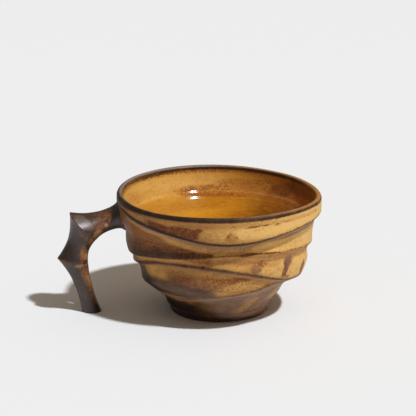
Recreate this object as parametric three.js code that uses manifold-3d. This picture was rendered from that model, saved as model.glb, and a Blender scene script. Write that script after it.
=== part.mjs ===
// Stoneware coffee mug: a thrown bowl with carved wavy arrises, luted to a turned foot, and a
// thorny branch handle of three limbs that stands beside the bowl on its own leg.
// Millimetres, +Z up. The origin is the middle of the foot's underside, and the handle reaches
// out along -X.

import * as THREE from "three";
import Module from "manifold-3d";

// Bowl and foot
const RIM_DIAMETER = 120;
const MUG_HEIGHT = 72.6;
const RIM_DIP_DEPTH = 2.6; // of the hand-thrown rim's lowest place below its highest
const LIP_THICKNESS = 3.6;
const WALL_THICKNESS = 8.6; // of the thrown wall, before it is carved
const FLOOR_THICKNESS = 4.5;
const FOOT_DIAMETER = 57.4;
const FOOT_TOP_DIAMETER = 62;
const FOOT_HEIGHT = 5.5;
const FOOT_CHAMFER = 0.8;
const HOLLOW_DEPTH = 4.1; // of the deepest hollow that is carved into the wall
const HOLLOW_REACH = 13; // of the tallest hollow, down from its arris

// Slip that lutes the pieces together
const SLIP_THICKNESS = 0.6;
const BEAD_THICKNESS = 1.4; // of the slip bead under the handle's root
const BEAD_OVERHANG = 0.3; // how far the bead squeezes out round the root
const FIT_GAP = 0.3; // left between curved faces that bed on each other

// Share of RIM_DIP_DEPTH that the rim lies below its highest place, at eight even azimuths from +X,
// anticlockwise seen from above
const RIM_WAVE = [1, 0.69, 0.15, 0, 0.31, 0.42, 0.27, 0.38];
const RIM_WAVE_START = 0.8; // share of the wall's height above which the dip is felt

// The thrown wall before carving, from the foot up to the lip, as
// [share of the wall's height, share of its flare]
const THROWN_PROFILE = [
  [0, 0],
  [0.07, 0.09],
  [0.145, 0.28],
  [0.22, 0.48],
  [0.29, 0.64],
  [0.37, 0.71],
  [0.55, 0.815],
  [0.68, 0.835],
  [0.81, 0.98],
  [0.9, 1],
  [1, 1],
];

// The carved arrises, from the top down, each right round the bowl. levelShares is the height of
// the arris as a share of the wall's height, and depthShares is the share of HOLLOW_DEPTH that the
// hollow below it is scooped into the thrown wall, both at eight even azimuths from +X,
// anticlockwise seen from above. reachShare is the share of HOLLOW_REACH that the hollow runs down.
const ARRISES = [
  {
    levelShares: [0.867, 0.872, 0.783, 0.842, 0.956, 0.872, 0.763, 0.842],
    depthShares: [0.56, 0.54, 0.63, 0.39, 0.15, 0.39, 0.61, 0.59],
    reachShare: 1,
  },
  {
    levelShares: [0.555, 0.55, 0.654, 0.599, 0.495, 0.58, 0.639, 0.619],
    depthShares: [0.56, 0.39, 0.44, 0.49, 0.49, 0.51, 0.63, 0.24],
    reachShare: 0.85,
  },
  {
    levelShares: [0.277, 0.426, 0.525, 0.441, 0.391, 0.52, 0.505, 0.337],
    depthShares: [0.98, 0.56, 0.54, 0.59, 1, 0.73, 0.37, 0.56],
    reachShare: 1,
  },
  {
    levelShares: [0.233, 0.168, 0.129, 0.163, 0.173, 0.119, 0.218, 0.297],
    depthShares: [0.05, 0.29, 0.39, 0.37, 0.12, 0.34, 0.39, 0.37],
    reachShare: 0.77,
  },
];

// The inside below the lip, as [share of the wall's height, share of the way from the lip's
// thickness to the thrown wall's], and the dish of the floor below that
const BORE_PROFILE = [
  [0.82, 0.33],
  [0.6, 1],
  [0.38, 1],
  [0.2, 1],
];
const DISH_SPREAD = 0.62; // share of the lowest wall radius where the floor begins to rise
const DISH_RISE = 0.2; // share of the way up to the wall that it has risen there

// Mitred ends of the handle's limbs, from the bowl to the table. outer and inner are the ends of
// the section on the thorn side and on the finger side, as [reach beyond the rim, drop below the
// rim]. depth is the section's size across, and point draws its outer side out to a thorn.
const ROOT = { outer: [-6, 3.6], inner: [-10, 21.6], depth: 22, point: 0 };
const THORN = { outer: [27.3, 12.4], inner: [11.7, 28.1], depth: 24, point: 0.1 };
const SPUR = { outer: [35, 39.6], inner: [17.1, 41.2], depth: 18, point: 0.3 };
const TOE = { outer: [21, MUG_HEIGHT], inner: [9.7, MUG_HEIGHT], depth: 11, point: 0 };

// The limbs, with the pull of the curve along each side and the share of depth left at mid length
const ARM = { from: ROOT, to: THORN, outerPull: [8, 15], innerPull: [4.4, 20.7], waist: 0.76 };
const ELBOW = { from: THORN, to: SPUR, outerPull: [26, 27.6], innerPull: [16.8, 33.3], waist: 0.8 };
const LEG = { from: SPUR, to: TOE, outerPull: [24.5, 52.2], innerPull: [16, 56.6], waist: 0.75 };
const LIMB_FLARE = 2; // power by which a limb flares out to its mitres

// Finishes
const BODY_GLAZE = { color: 0xa8752f, roughness: 0.4 };
const FOOT_GLAZE = { color: 0x4b2f1c, roughness: 0.5 };
const HANDLE_GLAZE = { color: 0x4f3622, roughness: 0.45 };
const FIRED_SLIP = { color: 0x3a261a, roughness: 0.7 };

// Facets
const AZIMUTH_STEPS = 80;
const LIP_STEPS = 5;
const BORE_STEPS = 12;
const ROW_SHARES = [0.3, 0.55, 0.75, 0.9, 1]; // rows of the wall from one arris up to the next
const LIMB_SIDES = 28;
const LIMB_STEPS = 12;

// Derived sizes
const RIM_RADIUS = RIM_DIAMETER / 2;
const FOOT_RADIUS = FOOT_DIAMETER / 2;
const FOOT_TOP_RADIUS = FOOT_TOP_DIAMETER / 2;
const SEAT_LEVEL = FOOT_HEIGHT + SLIP_THICKNESS;
const FLOOR_LEVEL = SEAT_LEVEL + FLOOR_THICKNESS;
const LIP_RADIUS = LIP_THICKNESS / 2;
const WALL_TOP = MUG_HEIGHT - LIP_RADIUS;

const { lerp, clamp, mapLinear, smoothstep } = THREE.MathUtils;
const { Manifold, Mesh } = await loadSolids();

async function loadSolids() {
  const solids = await Module();
  solids.setup();
  return solids;
}

// Cubic interpolation of even values right round the bowl
function around(values, azimuth) {
  const place = (azimuth / (2 * Math.PI)) * values.length;
  const start = Math.floor(place);
  const t = place - start;
  const at = (step) => values[(start + step + values.length) % values.length];
  const change = at(1) - at(0);
  const rise = (at(1) - at(-1)) / 2;
  const nextRise = (at(2) - at(0)) / 2;
  const cubic = rise + nextRise - 2 * change;
  const square = 3 * change - 2 * rise - nextRise;
  return at(0) + t * (rise + t * (square + t * cubic));
}

const thrownSection = new THREE.SplineCurve(THROWN_PROFILE.map((pair) => new THREE.Vector2(...pair)));
const thrownSamples = thrownSection.getPoints(12 * THROWN_PROFILE.length);

function wallLevel(share) {
  return lerp(SEAT_LEVEL, WALL_TOP, share);
}

function thrownRadius(z) {
  const share = clamp((z - SEAT_LEVEL) / (WALL_TOP - SEAT_LEVEL), 0, 1);
  const next = Math.max(1, thrownSamples.findIndex((sample) => sample.x >= share));
  const low = thrownSamples[next - 1];
  const high = thrownSamples[next];
  return lerp(FOOT_TOP_RADIUS, RIM_RADIUS, mapLinear(share, low.x, high.x, low.y, high.y));
}

function arrisLevel(arris, azimuth) {
  return wallLevel(around(arris.levelShares, azimuth));
}

// Section of a hollow: steep just under its arris, deepest a third of the way down, where it is
// 1, and running out gently below
function scoop(share) {
  const inHollow = share > 0 && share < 1;
  return inHollow ? (27 / 4) * share * (1 - share) ** 2 : 0;
}

function carvedRadius(azimuth, z) {
  const cuts = ARRISES.map((arris) => {
    const below = arrisLevel(arris, azimuth) - z;
    const depth = HOLLOW_DEPTH * around(arris.depthShares, azimuth);
    return depth * scoop(below / (HOLLOW_REACH * arris.reachShare));
  });
  return cuts.reduce((radius, cut) => radius - cut, thrownRadius(z));
}

// A level near the rim, let down by the rim's dip at that azimuth
function dipped(level, azimuth) {
  const share = smoothstep(level, wallLevel(RIM_WAVE_START), WALL_TOP);
  return level - RIM_DIP_DEPTH * share * around(RIM_WAVE, azimuth);
}

// One loop of points round the axis, from a rule that gives [radius, level] at an azimuth
function ring(rule) {
  return Array.from({ length: AZIMUTH_STEPS }, (_, step) => {
    const azimuth = (2 * Math.PI * step) / AZIMUTH_STEPS;
    const [radius, level] = rule(azimuth);
    const [x, y] = [radius * Math.cos(azimuth), radius * Math.sin(azimuth)];
    return new THREE.Vector3(x, y, dipped(level, azimuth));
  });
}

// Closed solid through loops with equal numbers of points, with a fan over each end
function loft(loops) {
  const sides = loops[0].length;
  const middle = (loop) => {
    const sum = new THREE.Vector3();
    loop.forEach((point) => sum.add(point));
    return sum.divideScalar(sides);
  };
  const points = [...loops.flat(), middle(loops[0]), middle(loops.at(-1))];
  const lastRow = loops.length - 1;
  const startFan = points.length - 2;
  const endFan = points.length - 1;
  const index = [];
  for (let side = 0; side < sides; side++) {
    const next = (side + 1) % sides;
    index.push(startFan, next, side);
    for (let row = 0; row < lastRow; row++) {
      const a = row * sides + side;
      const b = row * sides + next;
      index.push(a, b, b + sides, a, b + sides, a + sides);
    }
    index.push(endFan, lastRow * sides + side, lastRow * sides + next);
  }
  return new THREE.BufferGeometry().setFromPoints(points).setIndex(index);
}

// Loops of the carved outside, from the seat up to the lip, with a row along every arris
function carvedLoops(offset) {
  const arrisLines = ARRISES.map((arris) => (azimuth) => arrisLevel(arris, azimuth));
  const lines = [() => SEAT_LEVEL, ...arrisLines.reverse(), () => WALL_TOP];
  const row = (line, share) =>
    ring((azimuth) => {
      const z = lerp(lines[line](azimuth), lines[line + 1](azimuth), share);
      return [carvedRadius(azimuth, z) + offset, z];
    });
  const loops = [row(0, 0)];
  for (let line = 0; line < lines.length - 1; line++) {
    ROW_SHARES.forEach((share) => loops.push(row(line, share)));
  }
  return loops;
}

function lipLoops() {
  return Array.from({ length: LIP_STEPS }, (_, step) => {
    const angle = (Math.PI * (step + 1)) / (LIP_STEPS + 1);
    const radius = RIM_RADIUS - LIP_RADIUS + LIP_RADIUS * Math.cos(angle);
    return ring(() => [radius, WALL_TOP + LIP_RADIUS * Math.sin(angle)]);
  });
}

// Loops of the inside, from the lip down to the floor
function boreLoops() {
  const wall = BORE_PROFILE.map(([height, thickening]) => {
    const z = wallLevel(height);
    return new THREE.Vector2(thrownRadius(z) - lerp(LIP_THICKNESS, WALL_THICKNESS, thickening), z);
  });
  const heel = wall.at(-1);
  const section = new THREE.SplineCurve([
    new THREE.Vector2(RIM_RADIUS - LIP_THICKNESS, WALL_TOP),
    ...wall,
    new THREE.Vector2(heel.x * DISH_SPREAD, lerp(FLOOR_LEVEL, heel.y, DISH_RISE)),
    new THREE.Vector2(0, FLOOR_LEVEL),
  ]);
  const points = section.getSpacedPoints(BORE_STEPS).slice(0, -1);
  return points.map((point) => ring(() => [point.x, point.y]));
}

function bowl() {
  return loft([...carvedLoops(0), ...lipLoops(), ...boreLoops()]);
}

// Turns a shape made round +Y so that it stands round +Z
function upright(geometry) {
  return geometry.rotateX(Math.PI / 2);
}

function foot() {
  const side = new THREE.QuadraticBezierCurve(
    new THREE.Vector2(FOOT_RADIUS, FOOT_CHAMFER),
    new THREE.Vector2(FOOT_RADIUS, FOOT_HEIGHT / 2),
    new THREE.Vector2(FOOT_TOP_RADIUS, FOOT_HEIGHT),
  );
  const section = [
    new THREE.Vector2(0, 0),
    new THREE.Vector2(FOOT_RADIUS - FOOT_CHAMFER, 0),
    ...side.getPoints(4),
    new THREE.Vector2(0, FOOT_HEIGHT),
  ];
  return upright(new THREE.LatheGeometry(section, AZIMUTH_STEPS));
}

function footSeam() {
  const disc = new THREE.CylinderGeometry(
    FOOT_TOP_RADIUS,
    FOOT_TOP_RADIUS,
    SLIP_THICKNESS,
    AZIMUTH_STEPS,
  );
  return upright(disc).translate(0, 0, FOOT_HEIGHT + SLIP_THICKNESS / 2);
}

// A point in the handle's mid plane, from its reach beyond the rim and its drop below the rim
function handlePoint([reach, drop]) {
  return new THREE.Vector3(-RIM_RADIUS - reach, 0, MUG_HEIGHT - drop);
}

// Oval section between an outer and an inner point, drawn to a point on the outer side
function limbSection(outer, inner, depth, point, swell) {
  const middle = outer.clone().lerp(inner, 0.5);
  const half = outer.clone().sub(middle);
  half.setLength(half.length() + swell);
  return Array.from({ length: LIMB_SIDES }, (_, side) => {
    const angle = (2 * Math.PI * side) / LIMB_SIDES;
    const taper = 1 - (point * (1 + Math.cos(angle))) / 2;
    const across = (depth / 2 + swell) * taper * Math.sin(angle);
    return middle.clone().addScaledVector(half, Math.cos(angle)).setY(across);
  });
}

// The section at a mitre, moved along the handle by a distance towards the table
function mitreSection(mitre, distance) {
  const outer = handlePoint(mitre.outer);
  const inner = handlePoint(mitre.inner);
  const across = outer.clone().sub(inner);
  const along = new THREE.Vector3(-across.z, 0, across.x).setLength(distance);
  const section = limbSection(outer, inner, mitre.depth, mitre.point, 0);
  return section.map((point) => point.add(along));
}

// Loops along a limb, from its upper mitre to its lower one
function limbLoops(limb, swell) {
  const curve = (start, pull, end) =>
    new THREE.QuadraticBezierCurve3(handlePoint(start), handlePoint(pull), handlePoint(end));
  const outer = curve(limb.from.outer, limb.outerPull, limb.to.outer);
  const inner = curve(limb.from.inner, limb.innerPull, limb.to.inner);
  return Array.from({ length: LIMB_STEPS + 1 }, (_, step) => {
    const t = step / LIMB_STEPS;
    const flare = Math.abs(2 * t - 1) ** LIMB_FLARE;
    const depth = lerp(limb.from.depth, limb.to.depth, t) * lerp(limb.waist, 1, flare);
    const point = lerp(limb.from.point, limb.to.point, t);
    return limbSection(outer.getPoint(t), inner.getPoint(t), depth, point, swell);
  });
}

function toSolid(geometry) {
  const vertProperties = new Float32Array(geometry.getAttribute("position").array);
  const triVerts = new Uint32Array(geometry.getIndex().array);
  return new Manifold(new Mesh({ numProp: 3, vertProperties, triVerts }));
}

function toGeometry(solid) {
  const { vertProperties, triVerts } = solid.getMesh();
  const geometry = new THREE.BufferGeometry();
  geometry.setAttribute("position", new THREE.BufferAttribute(vertProperties, 3));
  return geometry.setIndex(new THREE.BufferAttribute(triVerts, 1));
}

// The carved outside as a filled solid, grown by an offset and carried on above the rim
function wallEnvelope(offset) {
  const above = ring(() => [RIM_RADIUS + offset, MUG_HEIGHT + RIM_RADIUS]);
  return toSolid(loft([...carvedLoops(offset), above]));
}

// The arm reaches into the wall and is cut back to bed on the slip bead
function handleArm() {
  const loops = limbLoops(ARM, 0);
  loops[LIMB_STEPS] = mitreSection(THORN, -SLIP_THICKNESS / 2);
  const wall = wallEnvelope(FIT_GAP + BEAD_THICKNESS + FIT_GAP);
  return toGeometry(toSolid(loft(loops)).subtract(wall));
}

function handleBead() {
  const root = toSolid(loft(limbLoops(ARM, BEAD_OVERHANG)));
  const bed = root.intersect(wallEnvelope(FIT_GAP + BEAD_THICKNESS));
  return toGeometry(bed.subtract(wallEnvelope(FIT_GAP)));
}

function handleElbow() {
  const loops = limbLoops(ELBOW, 0);
  loops[0] = mitreSection(THORN, SLIP_THICKNESS / 2);
  loops[LIMB_STEPS] = mitreSection(SPUR, -SLIP_THICKNESS / 2);
  return loft(loops);
}

function handleLeg() {
  const loops = limbLoops(LEG, 0);
  loops[0] = mitreSection(SPUR, SLIP_THICKNESS / 2);
  return loft(loops);
}

function mitreSeam(mitre) {
  return loft([mitreSection(mitre, -SLIP_THICKNESS / 2), mitreSection(mitre, SLIP_THICKNESS / 2)]);
}

function piece(name, geometry, finish) {
  const mesh = new THREE.Mesh(geometry, new THREE.MeshStandardMaterial({ ...finish, metalness: 0 }));
  mesh.name = name;
  return mesh;
}

const mug = new THREE.Group();
mug.add(
  piece("bowl", bowl(), BODY_GLAZE),
  piece("foot", foot(), FOOT_GLAZE),
  piece("foot_slip_seam", footSeam(), FIRED_SLIP),
  piece("handle_slip_bead", handleBead(), FIRED_SLIP),
  piece("handle_arm", handleArm(), HANDLE_GLAZE),
  piece("thorn_slip_seam", mitreSeam(THORN), FIRED_SLIP),
  piece("handle_elbow", handleElbow(), HANDLE_GLAZE),
  piece("spur_slip_seam", mitreSeam(SPUR), FIRED_SLIP),
  piece("handle_leg", handleLeg(), HANDLE_GLAZE),
);

export default mug;
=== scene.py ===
"""Glazed look of a stoneware coffee mug: carved bowl, turned foot and thorny branch handle."""

import math

import bpy
import numpy as np
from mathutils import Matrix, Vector, noise


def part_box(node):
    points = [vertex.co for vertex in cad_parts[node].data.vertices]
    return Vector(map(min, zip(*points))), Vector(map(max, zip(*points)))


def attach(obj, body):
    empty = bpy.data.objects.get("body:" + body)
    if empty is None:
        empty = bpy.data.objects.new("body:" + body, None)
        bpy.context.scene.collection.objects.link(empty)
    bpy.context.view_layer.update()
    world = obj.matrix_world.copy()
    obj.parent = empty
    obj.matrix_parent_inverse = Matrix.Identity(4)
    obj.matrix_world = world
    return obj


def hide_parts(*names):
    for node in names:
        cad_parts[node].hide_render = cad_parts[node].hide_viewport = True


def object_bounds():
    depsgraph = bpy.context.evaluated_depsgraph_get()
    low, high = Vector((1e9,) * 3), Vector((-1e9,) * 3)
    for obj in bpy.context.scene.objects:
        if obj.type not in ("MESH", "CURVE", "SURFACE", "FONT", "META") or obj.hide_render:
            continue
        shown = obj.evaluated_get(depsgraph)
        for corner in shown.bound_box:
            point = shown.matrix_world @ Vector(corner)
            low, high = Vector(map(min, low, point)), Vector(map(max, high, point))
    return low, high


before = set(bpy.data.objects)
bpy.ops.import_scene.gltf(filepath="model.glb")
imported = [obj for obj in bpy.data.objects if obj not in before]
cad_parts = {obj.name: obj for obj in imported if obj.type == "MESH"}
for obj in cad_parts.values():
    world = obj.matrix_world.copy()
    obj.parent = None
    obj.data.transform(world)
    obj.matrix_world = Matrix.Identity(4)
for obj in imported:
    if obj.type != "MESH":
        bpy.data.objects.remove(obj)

CAD_LOW, CAD_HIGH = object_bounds()

# Sizes are in millimetres, and angles in the tables below are in degrees. Azimuths run anticlockwise
# from +X, seen from above. A list of eight numbers holds values at even azimuths, from 0 on.
MM = 0.001

# Sizes of the solids
RIM_RADIUS = 60
MUG_HEIGHT = 72.6
RIM_DIP_DEPTH = 2.6
LIP_THICKNESS = 3.6
WALL_THICKNESS = 8.6
FLOOR_THICKNESS = 4.5
FOOT_CHAMFER = 0.8
FOOT_RADIUS = 28.7
HOLLOW_DEPTH = 4.1
HOLLOW_REACH = 13
FOOT_TOP_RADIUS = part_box("foot")[1].x / MM
FOOT_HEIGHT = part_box("foot")[1].z / MM
SEAT_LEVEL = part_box("bowl")[0].z / MM
FLOOR_LEVEL = SEAT_LEVEL + FLOOR_THICKNESS
LIP_RADIUS = LIP_THICKNESS / 2
WALL_TOP = MUG_HEIGHT - LIP_RADIUS

# Share of RIM_DIP_DEPTH that the hand-thrown rim lies below its highest place
RIM_WAVE = [1, 0.69, 0.15, 0, 0.31, 0.42, 0.27, 0.38]
RIM_WAVE_START = 0.8

# The thrown wall as (share of its height, share of its flare)
THROWN_PROFILE = [
    (0, 0), (0.07, 0.09), (0.145, 0.28), (0.22, 0.48), (0.29, 0.64), (0.37, 0.71),
    (0.55, 0.815), (0.68, 0.835), (0.81, 0.98), (0.9, 1), (1, 1),
]

# The carved arrises from the top down: level as a share of the wall's height, depth and reach of
# the hollow below as shares of HOLLOW_DEPTH and HOLLOW_REACH, and half the thickness, the darkness
# and the height above the edge of the line that the glaze breaks to there
ARRISES = [
    {
        "level": [0.867, 0.872, 0.783, 0.842, 0.956, 0.872, 0.763, 0.842],
        "depth": [0.56, 0.54, 0.63, 0.39, 0.15, 0.39, 0.61, 0.59],
        "reach": 1,
        "break": [0.7, 0.8, 1, 1, 1.1, 1.6, 1.3, 0.9],
        "dark": [0.7, 0.85, 0.9, 0.9, 0.95, 0.9, 0.82, 0.7],
        "rise": 0.2,
    },
    {
        "level": [0.555, 0.55, 0.654, 0.599, 0.495, 0.58, 0.639, 0.619],
        "depth": [0.56, 0.39, 0.44, 0.49, 0.49, 0.51, 0.63, 0.24],
        "reach": 0.85,
        "break": [0.5, 0.7, 0.9, 0.8, 0.8, 0.9, 0.6, 0.5],
        "dark": [0.5, 0.8, 0.9, 0.9, 0.85, 0.8, 0.45, 0.3],
        "rise": 0.5,
    },
    {
        "level": [0.277, 0.426, 0.525, 0.441, 0.391, 0.52, 0.505, 0.337],
        "depth": [0.98, 0.56, 0.54, 0.59, 1, 0.73, 0.37, 0.56],
        "reach": 1,
        "break": [0.7, 0.8, 0.9, 0.8, 1.0, 1.8, 1.5, 1.1],
        "dark": [0.65, 0.8, 0.85, 0.85, 0.8, 0.72, 0.74, 0.7],
        "rise": 0.1,
    },
    {
        "level": [0.233, 0.168, 0.129, 0.163, 0.173, 0.119, 0.218, 0.297],
        "depth": [0.05, 0.29, 0.39, 0.37, 0.12, 0.34, 0.39, 0.37],
        "reach": 0.77,
        "break": [0.6, 0.8, 0.9, 0.9, 0.8, 1.1, 1.7, 1.4],
        "dark": [0.5, 0.6, 0.62, 0.62, 0.62, 0.62, 0.58, 0.5],
        "rise": 1.8,
    },
]
HOLLOW_SCALE = 27 / 4  # brings share * (1 - share) ** 2, which peaks at 4 / 27, up to 1
ARRIS_SOFTNESS = 0.35  # how far an arris is rounded over

# Lines that strokes of glaze follow: the arrises from the top down, and the rim
FIRST, SECOND, THIRD, LOWEST = range(4)
RIM = "rim"

# The inside below the lip, as in the solids: (share of the wall's height, share of the way from the
# lip's thickness to the wall's), and then the dish of the floor
BORE_PROFILE = [(0.82, 0.33), (0.6, 1), (0.38, 1), (0.2, 1)]
DISH_SPREAD = 0.62
DISH_RISE = 0.2

# The glaze that pools inside
POOL_TOP = 60
POOL_FULL = 53
POOL_ROLLS = [(56.9, 0.3), (53.7, 0.24)]  # levels and thicknesses of the rolled edges of its coats
POOL_EDGE = 0.6  # half the height of those edges

# Mitres and limbs of the handle. outer and inner are (reach beyond the rim, drop below the rim) of
# a mitre's corners, and of the pulls that bend a limb's sides. depth is the size across, point how
# far the outer side narrows to a ridge, and waist the share of the depth that is left halfway.
ROOT = {"outer": (-6, 3.6), "inner": (-10, 21.6), "depth": 22, "point": 0}
THORN = {"outer": (27.3, 12.4), "inner": (11.7, 28.1), "depth": 24, "point": 0.1}
SPUR = {"outer": (35, 39.6), "inner": (17.1, 41.2), "depth": 18, "point": 0.3}
TOE = {"outer": (21, MUG_HEIGHT), "inner": (9.7, MUG_HEIGHT), "depth": 11, "point": 0}
ARM = {"from": ROOT, "to": THORN, "outer": (8, 15), "inner": (4.4, 20.7), "waist": 0.76}
ELBOW = {"from": THORN, "to": SPUR, "outer": (26, 27.6), "inner": (16.8, 33.3), "waist": 0.8}
LEG = {"from": SPUR, "to": TOE, "outer": (24.5, 52.2), "inner": (16, 56.6), "waist": 0.75}
LIMB_FLARE = 2  # how late a limb flares out to its mitres
ROOT_BITE = 1  # how far the handle's root reaches into the wall
ROOT_FILLET = 1.6  # swell of the slip smoothed round the root
ROOT_FILLET_REACH = 3

# Unevenness left by the hands, all of it inwards, and the size of its bumps
UNEVEN_WALL = 0.35
UNEVEN_WALL_SIZE = 14
UNEVEN_LIMB = 0.5
UNEVEN_LIMB_SIZE = 7

# Grids
AZIMUTH_STEPS = 400
BAND_ROWS = 20
LIP_ROWS = 12
BORE_ROWS = 90
FOOT_ROWS = 16
LIMB_SIDES = 72
LIMB_ROWS = 60
PROFILE_SAMPLES = 1201
BORE_SAMPLES = 3600
ROLL_CROWDING = 5  # how much denser the rows stand at the pool's rolled edges
ROLL_CROWDING_REACH = 1.5
PIN_RADIUS = 0.01  # of an innermost ring, which a fan closes
AZIMUTHS = np.linspace(0, 2 * math.pi, AZIMUTH_STEPS, endpoint=False)
LIMB_SHARES = np.linspace(0, 1, LIMB_ROWS)[:, None]
NEIGHBOURS = (-1, 0, 1, 2)  # steps to the four values round a place, from the one before it

# The glaze is painted in five fields. tone runs from 0, olive brown, to 1, pale ochre. rust and
# dark are the cover of the rusty and of the black breaks over it, the grey haze is the cover of
# painted sheen, a painted reflection of floor and sky on these, and speckle the share of specks.
BASE_PAINT = {"tone": 0.7, "rust": 0.14, "dark": 0, "painted_sheen": 0, "speckle": 0.18}
# Tone round the wall, lowest on the left, away from the lamp: partly the glaze's own tone, partly
# painted shade
WALL_TONE = [0.88, 0.75, 0.7, 0.5, 0.18, 0.34, 0.72, 0.94]
BREAK_RUST = 0.5  # in the haze along an arris
BREAK_HAZE = 2.4  # how many times wider that haze is than the dark line in it

# Below the lowest arris
# Darkest on the left, away from the lamp: partly the darker glaze low down, partly painted shade
LOWER_DARK = [0.4, 0.5, 0.8, 0.85, 0.95, 0.92, 0.58, 0.38]
LOWER_RUST = 0.45
LOWER_TONE = 0.45
LOWER_BLEND = 1.4  # half the height over which these come in

# Inside
INSIDE_PAINT = {**BASE_PAINT, "rust": 0.13}
# Tone round the inside, low at the right, where the rim shades the inside: painted shade
INSIDE_TONE = [0.2, 0.3, 0.84, 1, 0.92, 0.8, 0.7, 0.4]
INSIDE_TONE_RADII = (4, 42)  # between which these tones come in

# Over the lip: its ground, and the dark of its outer side, its top and its inner side
LIP_PAINT = {"tone": 0.52, "rust": 0.28, "dark": 0, "painted_sheen": 0, "speckle": 0}
LIP_OUTER = [0.55, 0.15, 0.55, 0.85, 0.85, 0.87, 0.78, 0.77]
LIP_TOP = [0.1, 0.05, 0.45, 0.64, 0.74, 0.84, 0.7, 0.25]
# The inner side's dark is partly painted shade at the back right, where the rim shades the inside
LIP_INNER = [0.5, 0.9, 0.88, 0.72, 0.52, 0.05, 0.3, 0.6]
LIP_RUST = 0.6  # under the dark of its outer side
# Painted sheen over the lip, by azimuth: a painted highlight along its top
LIP_PAINTED_SHEEN = [0, 0, 0.75, 1.1, 0.8, 0.2, 0.8, 0.85]

# Where these lie, as shares of the way over the lip from outside to inside
LIP_OUTER_FADE = (0.1, 0.4)  # the outer dark fades out
LIP_INNER_START = [0.7, 0.7, 0.78, 0.86, 0.7, 0.42, 0.58, 0.62]
LIP_INNER_BLEND = 0.1  # half of the way over which the inner dark comes in
LIP_PAINTED_SHEEN_MIDDLE = 0.6
LIP_PAINTED_SHEEN_SPREAD = 0.22
LIP_AMBER = (0.7, 1)  # the colours of the inside come in

# How far the lip's dark runs down outside and inside, and between which drops it and its rust fade
LIP_RUN = [0.5, 0.4, 0.4, 1.2, 1.8, 0.8, 1.2, 0.45]
LIP_FALL = [1, 1.4, 1.4, 2, 0.8, 0.6, 0.8, 1]
OUTER_DARK_FADE = (0.2, 1.5)  # as shares of LIP_RUN
OUTER_RUST_FADE = (0.6, 2.4)  # as shares of LIP_RUN
OUTER_RUST_MORE = 0.8  # how much further down that rust ends
INNER_DARK_FADE = (0.4, 1.2)  # as shares of LIP_FALL
INNER_RUST_FADE = (0.6, 5)
INNER_RUST = 0.4  # and twice that where the inner dark is full

# How strokes and marks fade at their edges
STROKE_ENDS = 4  # half the angle over which a stroke's ends fade
STROKE_SIDES = (0.5, 1.25)  # where its sides start and stop to fade, in half heights
MARK_EDGE = (0.6, 1.3)  # where a mark starts and stops to fade, in half sizes

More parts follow.
